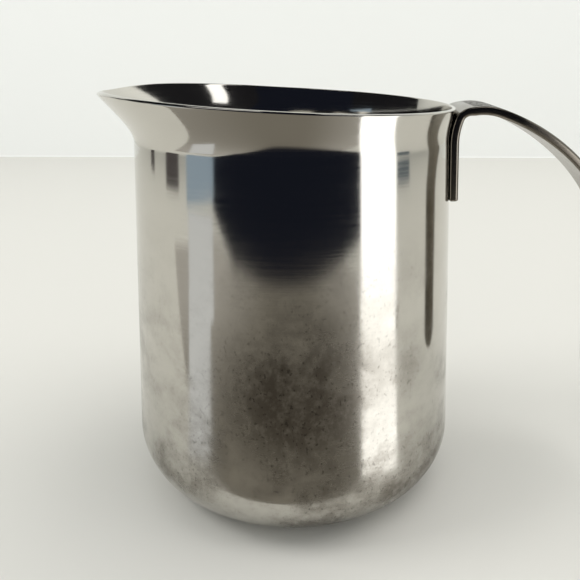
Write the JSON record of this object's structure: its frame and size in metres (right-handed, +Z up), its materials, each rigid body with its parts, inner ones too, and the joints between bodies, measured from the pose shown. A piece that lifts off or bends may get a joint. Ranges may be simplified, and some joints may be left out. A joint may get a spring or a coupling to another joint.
{
  "type": "milk frothing pitcher",
  "caption": "Small open stainless steel pitcher with a pulled-out pouring lip and an open hook handle, for steaming and pouring milk.",
  "frame": {"origin": "centre of the flat bottom that the pitcher stands on", "axes": "+Z up along the cup's axis, +X towards the handle, -X towards the pouring lip"},
  "size_m": [0.1189, 0.078, 0.0937],
  "materials": {
    "polished_steel": "stainless sheet polished almost to a mirror, with faint polishing lines round the cup, a thin warm film and water spots",
    "strap_steel": "polished stainless strip with rounded edges",
    "weld_steel": "plain fused steel, hidden between the tab and the wall"
  },
  "bodies": {
    "root": {"pitcher_cup": "polished_steel", "handle_strap": "strap_steel", "spot_welds": "weld_steel"}
  },
  "joints": []
}
